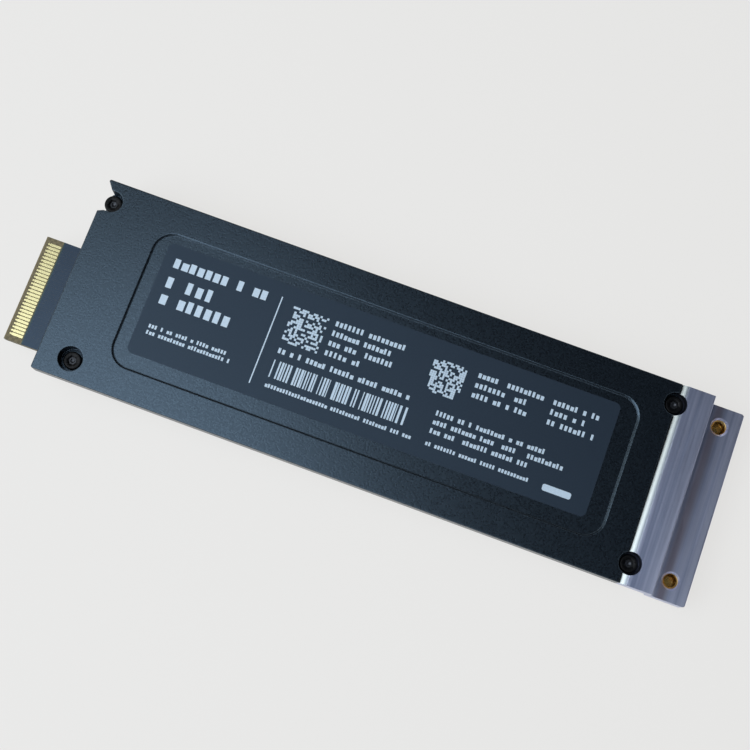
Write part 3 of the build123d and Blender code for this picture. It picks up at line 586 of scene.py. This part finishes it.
# Painted shade: a darker brownish band on the upward faces along the foot of the step.
off_line = wire(tree, "ShaderNodeMath", {
    "Value": level.outputs["X"], "Value_001": STEP_SHADE_LINE}, operation="SUBTRACT")
aside = wire(tree, "ShaderNodeMath", {"Value": off_line.outputs[0]}, operation="ABSOLUTE")
on_top = wire(tree, "ShaderNodeMapRange", {
    "Value": facing.outputs["Z"], "From Min": 0.5, "From Max": 0.8, "To Min": 0.0, "To Max": 0.85})
step_shade = wire(tree, "ShaderNodeMapRange", {
    "Value": aside.outputs[0], "From Min": 1.2 * MM, "From Max": 0.3 * MM, "To Min": 0.0,
    "To Max": on_top.outputs[0]})
step_shaded = wire(tree, "ShaderNodeMix", {
    "Factor_Float": step_shade.outputs[0], "A_Color": bevel_highlit.outputs[2],
    "B_Color": linear("#938b97")}, data_type="RGBA")
# Painted shade: near black in the narrow gaps round the screw heads, where the ambient occlusion is low.
upper = wire(tree, "ShaderNodeMapRange", {
    "Value": level.outputs["Z"], "From Min": 6.0 * MM, "From Max": 7.0 * MM, "To Min": 0.0, "To Max": 0.97})
gap_occlusion = wire(tree, "ShaderNodeAmbientOcclusion", {"Distance": 0.7 * MM}, samples=8)
gap_shade = wire(tree, "ShaderNodeMapRange", {
    "Value": gap_occlusion.outputs["AO"], "From Min": 0.9, "From Max": 0.6, "To Min": 0.0,
    "To Max": upper.outputs[0]})
gap_shaded = wire(tree, "ShaderNodeMix", {
    "Factor_Float": gap_shade.outputs[0], "A_Color": step_shaded.outputs[2],
    "B_Color": linear("#08090b")}, data_type="RGBA")
gloss = wire(tree, "ShaderNodeMapRange", {
    "Value": scratches.outputs["Fac"], "From Min": 0.25, "From Max": 0.75, "To Min": 0.28, "To Max": 0.42})
lay = wire(tree, "ShaderNodeBump", {
    "Height": scratches.outputs["Fac"], "Strength": 0.4, "Distance": 0.03 * MM})
surface(tree, Base_Color=gap_shaded.outputs[2], Metallic=1.0, Roughness=gloss.outputs[0], Normal=lay.outputs[0])
dress(bare, "front_bracket")

# Latch nuts: two blind clinch nuts turned from brass and pressed up into the ledge from below.
# The latch or a handle screws into their threads, which show through the holes in the ledge.
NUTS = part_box("latch_nuts")
NUT_FLANGE = 0.5 * MM
NUT_FLANGE_RADIUS = 2.2 * MM
NUT_BODY_RADIUS = 1.6 * MM
NUT_BORE_RADIUS = 1.05 * MM
NUT_FLOOR = 0.45 * MM
NUT_PITCH = 0.45 * MM
NUT_THREAD = 0.13 * MM
NUT_FLANGE_EDGE = 0.15 * MM
NUT_BODY_EDGE = 0.1 * MM
NUT_MOUTH = 0.12 * MM
NUT_MOUTH_DEPTH = 0.14 * MM
NUT_THREAD_TOP = 0.2 * MM
NUT_THREAD_FOOT = 0.25 * MM
NUT_RELIEF = 0.2 * MM
NUT_SIDES = 40


def turned(rows, sides):
    """Bmesh of revolution from rows of (radius, height); a radius may be a function of the angle."""
    shape = bmesh.new()
    rings = []
    for radius, height in rows:
        reach = radius if callable(radius) else lambda angle, fixed=radius: fixed
        angles = [0.0] if radius == 0 else [math.tau * side / sides for side in range(sides)]
        points = [(reach(angle) * math.cos(angle), reach(angle) * math.sin(angle), height)
                  for angle in angles]
        rings.append([shape.verts.new(point) for point in points])
    for lower, upper in zip(rings, rings[1:]):
        for at in range(sides):
            corners = (lower[(at - 1) % len(lower)], lower[at % len(lower)],
                       upper[at % len(upper)], upper[(at - 1) % len(upper)])
            shape.faces.new(dict.fromkeys(corners))
    return shape


def thread_rows(outer, depth, pitch, start, end, cuts=8):
    """Rows of a helical thread between two heights, for turned()."""
    rows = []
    count = round(abs(end - start) / pitch * cuts)
    for step in range(count + 1):
        height = start + (end - start) * step / count

        def reach(angle, height=height):
            phase = (height / pitch - angle / math.tau) % 1.0
            return outer - depth * (1 - abs(2 * phase - 1))
        rows.append((reach, height))
    return rows


# Fasteners of one kind, one on each point, each turned by its own seeded angle.
fastener_set, given = node_tree("fastener_set", {
    "Fastener": "Object", "Largest turn": "Float", "Seed": "Int"})
angle = wire(fastener_set, "FunctionNodeRandomValue", {
    "Max_001": given["Largest turn"], "Seed": given["Seed"]}, data_type="FLOAT")
twist = wire(fastener_set, "ShaderNodeCombineXYZ", {"Z": angle.outputs[1]})
pattern = wire(fastener_set, "GeometryNodeObjectInfo", {"Object": given["Fastener"]})
seated = wire(fastener_set, "GeometryNodeInstanceOnPoints", {
    "Points": given["Points"], "Instance": pattern.outputs["Geometry"], "Rotation": twist.outputs[0]})
realised(fastener_set, given, seated.outputs[0])

# Turned brass: a warm yellow metal with fine rings left by the tool.
brass, tree, place = finish("turned_brass")
rings = wire(tree, "ShaderNodeTexNoise", {"Vector": place, "Scale": 1 / (0.1 * MM), "Detail": 2.0})
yellow = wire(tree, "ShaderNodeMix", {
    "Factor_Float": rings.outputs["Fac"], "A_Color": linear("#a68446"),
    "B_Color": linear("#c8a868")}, data_type="RGBA")
gloss = wire(tree, "ShaderNodeMapRange", {"Value": rings.outputs["Fac"], "To Min": 0.2, "To Max": 0.38})
surface(tree, Base_Color=yellow.outputs[2], Metallic=1.0, Roughness=gloss.outputs[0])

nut_top = NUTS[1].z - NUTS[0].z
nut_rows = [
    (0, 0), (NUT_FLANGE_RADIUS - NUT_FLANGE_EDGE, 0), (NUT_FLANGE_RADIUS, NUT_FLANGE_EDGE),
    (NUT_FLANGE_RADIUS, NUT_FLANGE), (NUT_BODY_RADIUS, NUT_FLANGE),
    (NUT_BODY_RADIUS, nut_top - NUT_BODY_EDGE), (NUT_BODY_RADIUS - NUT_BODY_EDGE, nut_top),
    (NUT_BORE_RADIUS + NUT_MOUTH, nut_top), (NUT_BORE_RADIUS, nut_top - NUT_MOUTH_DEPTH)]
nut_rows += thread_rows(NUT_BORE_RADIUS, NUT_THREAD, NUT_PITCH,
                        nut_top - NUT_THREAD_TOP, NUT_FLOOR + NUT_THREAD_FOOT)
nut_rows += [(NUT_BORE_RADIUS, NUT_FLOOR + NUT_RELIEF), (NUT_BORE_RADIUS, NUT_FLOOR), (0, NUT_FLOOR)]
pattern = shown("nut_pattern", mesh_of("nut_pattern", turned(nut_rows, NUT_SIDES)))
nut_x = NUTS[1].x - NUT_FLANGE_RADIUS
nut_y = NUTS[1].y - NUT_FLANGE_RADIUS
nut_points = point_mesh("nut_points", [(nut_x, nut_y, NUTS[0].z), (nut_x, -nut_y, NUTS[0].z)])
nuts = grown("threaded_latch_nuts", fastener_set, {
    "Fastener": pattern, "Largest turn": math.tau, "Seed": 4, "Finish": brass}, nut_points)
bpy.data.objects.remove(pattern)
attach(nuts, "root")
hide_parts("latch_nuts")

# Cover screws: four small steel socket screws with low round-edged heads, blackened by hot oxide.
# They stand in counterbores of the cover and bracket and screw into the posts of the case.
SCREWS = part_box("cover_screws")
SCREW_Y = 13.4 * MM
REAR_PLACES = ((-50.455 * MM, 1), (-46.675 * MM, -1))
FRONT_PLACES = ((47.305 * MM, 1), (48.225 * MM, -1))
SCREW_LENGTH = 5.0 * MM
HEAD_RADIUS = 1.5 * MM
HEAD_HEIGHT = 0.75 * MM
HEAD_ROUND = 0.25 * MM
SHANK_RADIUS = 1.0 * MM
SOCKET_FLATS = 1.3 * MM
SOCKET_DEPTH = 0.4 * MM
DRILL_RADIUS = 0.4 * MM
DRILL_DEPTH = 0.28 * MM
SCREW_PITCH = 0.4 * MM
SCREW_THREAD = 0.16 * MM
THREAD_FOOT = 0.3 * MM
THREAD_TOP = 1.0 * MM
THREAD_CUTS = 6
POINT_EDGE = 0.25 * MM
PLAIN_SHANK = 0.9 * MM
HEAD_EDGE = 0.06 * MM
ROUND_STEPS = 6
SOCKET_MOUTH = 0.2 * MM
SOCKET_MOUTH_DEPTH = 0.1 * MM
SCREW_SIDES = 36
NEAR = 0.01 * MM


def hexagon(angle):
    """Distance from the axis to the side of the socket."""
    return SOCKET_FLATS / 2 / math.cos((angle + math.pi / 6) % (math.pi / 3) - math.pi / 6)


# Black oxide steel: a thin oily dark skin over turned metal, nearly black, with a soft shine; the drill point
# in the socket is made greyer and more metallic so that it shows a glint there, a painted highlight.
oxide, tree, place = finish("black_oxide_steel")
film_noise = wire(tree, "ShaderNodeTexNoise", {"Vector": place, "Scale": 1 / (0.25 * MM), "Detail": 3.0})
dark = wire(tree, "ShaderNodeMix", {
    "Factor_Float": film_noise.outputs["Fac"], "A_Color": linear("#060607"),
    "B_Color": linear("#0e0f11")}, data_type="RGBA")
gloss = wire(tree, "ShaderNodeMapRange", {"Value": film_noise.outputs["Fac"], "To Min": 0.3, "To Max": 0.5})
# Painted highlight: the drill point is greyer and more metallic so that it shows a glint.
glint_share = wire(tree, "ShaderNodeAttribute", attribute_name="drill_glint")
steel = wire(tree, "ShaderNodeMix", {
    "Factor_Float": glint_share.outputs["Fac"], "A_Color": dark.outputs[2],
    "B_Color": linear("#36383c")}, data_type="RGBA")
glint_metal_share = wire(tree, "ShaderNodeMapRange", {"Value": glint_share.outputs["Fac"], "To Min": 0.35, "To Max": 0.8})
surface(tree, Base_Color=steel.outputs[2], Metallic=glint_metal_share.outputs[0], Roughness=gloss.outputs[0],
        Specular_IOR_Level=0.14)

tip = -SCREW_LENGTH
screw_rows = [(0, tip), (SHANK_RADIUS - POINT_EDGE, tip), (SHANK_RADIUS, tip + POINT_EDGE)]
screw_rows += thread_rows(SHANK_RADIUS, SCREW_THREAD, SCREW_PITCH,
                          tip + THREAD_FOOT, -THREAD_TOP, THREAD_CUTS)
screw_rows += [(SHANK_RADIUS, -PLAIN_SHANK), (SHANK_RADIUS, 0),
               (HEAD_RADIUS - HEAD_EDGE, 0), (HEAD_RADIUS, HEAD_EDGE)]
for step in range(ROUND_STEPS + 1):
    lean = math.radians(90 * step / ROUND_STEPS)
    screw_rows.append((HEAD_RADIUS - HEAD_ROUND + HEAD_ROUND * math.cos(lean),
                       HEAD_HEIGHT - HEAD_ROUND + HEAD_ROUND * math.sin(lean)))
socket_floor = HEAD_HEIGHT - SOCKET_DEPTH
screw_rows += [(SOCKET_FLATS / 2 + SOCKET_MOUTH, HEAD_HEIGHT), (hexagon, HEAD_HEIGHT - SOCKET_MOUTH_DEPTH),
               (hexagon, socket_floor), (DRILL_RADIUS, socket_floor), (0, socket_floor - DRILL_DEPTH)]
pattern = shown("screw_pattern", mesh_of("screw_pattern", turned(screw_rows, SCREW_SIDES)))
drill_glint = pattern.data.attributes.new("drill_glint", "FLOAT", "POINT")
for point in pattern.data.vertices:
    in_socket = socket_floor + NEAR > point.co.z > 0
    drill_glint.data[point.index].value = in_socket and point.co.xy.length < DRILL_RADIUS + NEAR
screw_points = point_mesh("screw_points", [
    (x, side * SCREW_Y, SCREWS[0].z + SCREW_LENGTH) for x, side in REAR_PLACES] + [
    (x, side * SCREW_Y, SCREWS[1].z - HEAD_HEIGHT) for x, side in FRONT_PLACES])
screws = grown("threaded_cover_screws", fastener_set, {
    "Fastener": pattern, "Largest turn": math.tau, "Seed": 1, "Finish": oxide}, screw_points)
bpy.data.objects.remove(pattern)
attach(screws, "root")
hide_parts("cover_screws")

# Studio: a pale floor that sweeps up into a round wall, a dim even sky and two soft lamps over the connector
# end, a large cool one and a narrow warm one; their places and sizes are in metres and their power in watts.
# The floor and wall shine pale to the eye and to mirrors, but still take the shadow.
FLOOR_LEVEL = -0.02 * MM
FLOOR_RADIUS = 0.8
FLOOR_SIDES = 96
WALL_RADIUS = 1.3
WALL_HEIGHT = 0.45
SWEEP_STEPS = 8
PALE = "#e7e7e7"
GLOW = "#e8e7e5"
SHADOW_SHARE = 0.12
DIM_SKY = (0.04, 0.046, 0.058, 1.0)
COOL_WHITE = (0.86, 0.93, 1.0)
WARM_WHITE = (1.0, 0.97, 0.86)

sweep = [(0, FLOOR_LEVEL), (FLOOR_RADIUS, FLOOR_LEVEL)]
for step in range(1, SWEEP_STEPS + 1):
    lean = math.radians(90 * step / SWEEP_STEPS)
    sweep.append((FLOOR_RADIUS + (WALL_RADIUS - FLOOR_RADIUS) * math.sin(lean),
                  WALL_HEIGHT * (1 - math.cos(lean))))
backdrop, tree, place = finish("pale_studio_paper")
ray = wire(tree, "ShaderNodeLightPath").outputs
seen = wire(tree, "ShaderNodeMath", {
    "Value": ray["Is Camera Ray"], "Value_001": ray["Is Glossy Ray"]}, operation="MAXIMUM")
seen = wire(tree, "ShaderNodeMath", {
    "Value": seen.outputs[0], "Value_001": ray["Is Transmission Ray"]}, operation="MAXIMUM")
share = wire(tree, "ShaderNodeMath", {
    "Value": seen.outputs[0], "Value_001": 1 - SHADOW_SHARE}, operation="MULTIPLY")
paper = wire(tree, "ShaderNodeBsdfDiffuse", {"Color": linear(PALE)})
glow = wire(tree, "ShaderNodeEmission", {"Color": linear(GLOW), "Strength": 1.0})
mixed = wire(tree, "ShaderNodeMixShader", {
    "Fac": share.outputs[0], "Shader": paper.outputs[0], "Shader_001": glow.outputs[0]})
wire(tree, "ShaderNodeOutputMaterial", {"Surface": mixed.outputs[0]})
floor = shown("studio_floor", mesh_of("studio_floor", turned(sweep, FLOOR_SIDES), backdrop))

world = bpy.data.worlds.new("dim_sky")
world.use_nodes = True
world.node_tree.nodes.clear()
sky = wire(world.node_tree, "ShaderNodeBackground", {"Color": DIM_SKY, "Strength": 1.0})
wire(world.node_tree, "ShaderNodeOutputWorld", {"Surface": sky.outputs[0]})
bpy.context.scene.world = world

for name, light_place, width, height, power, tone in (
        ("window_light", Vector((-0.241, -0.169, 0.405)), 0.4, 0.7, 4.22, COOL_WHITE),
        ("side_strip", Vector((-0.36, 0.087, 0.472)), 0.35, 0.12, 0.42, WARM_WHITE)):
    lamp = bpy.data.lights.new(name, "AREA")
    lamp.shape = "RECTANGLE"
    lamp.size = width
    lamp.size_y = height
    lamp.energy = power
    lamp.color = tone
    lamp_object = bpy.data.objects.new(name, lamp)
    lamp_object.location = light_place
    lamp_object.rotation_mode = "QUATERNION"
    lamp_object.rotation_quaternion = (-light_place).to_track_quat("-Z", "Y")
    lamp_object.visible_camera = False
    bpy.context.scene.collection.objects.link(lamp_object)

# Camera: held a little over 200 mm above the module, off to the side of its middle and slightly rolled, as
# the photograph was taken. The focal length is in pixels of the square picture.
CAMERA_PLACE = Vector((10.07, -38.65, 215.64)) * MM
CAMERA_AIM = Vector((0.2, 1.04, 9.5)) * MM
CAMERA_ROLL = 6.2025
IMAGE_SIDE = 750
FOCAL_PIXELS = 1304.45
lens = bpy.data.cameras.new("camera")
lens.sensor_width = 36.0
lens.lens = lens.sensor_width * FOCAL_PIXELS / IMAGE_SIDE
lens.clip_start = 0.01
camera = bpy.data.objects.new("camera", lens)
aimed = (CAMERA_AIM - CAMERA_PLACE).to_track_quat("-Z", "Y").to_matrix()
camera.matrix_world = (Matrix.Translation(CAMERA_PLACE)
                       @ (aimed @ Matrix.Rotation(math.radians(CAMERA_ROLL), 3, "Z")).to_4x4())
bpy.context.scene.collection.objects.link(camera)
bpy.context.scene.camera = camera
bpy.context.scene.view_settings.view_transform = "Standard"
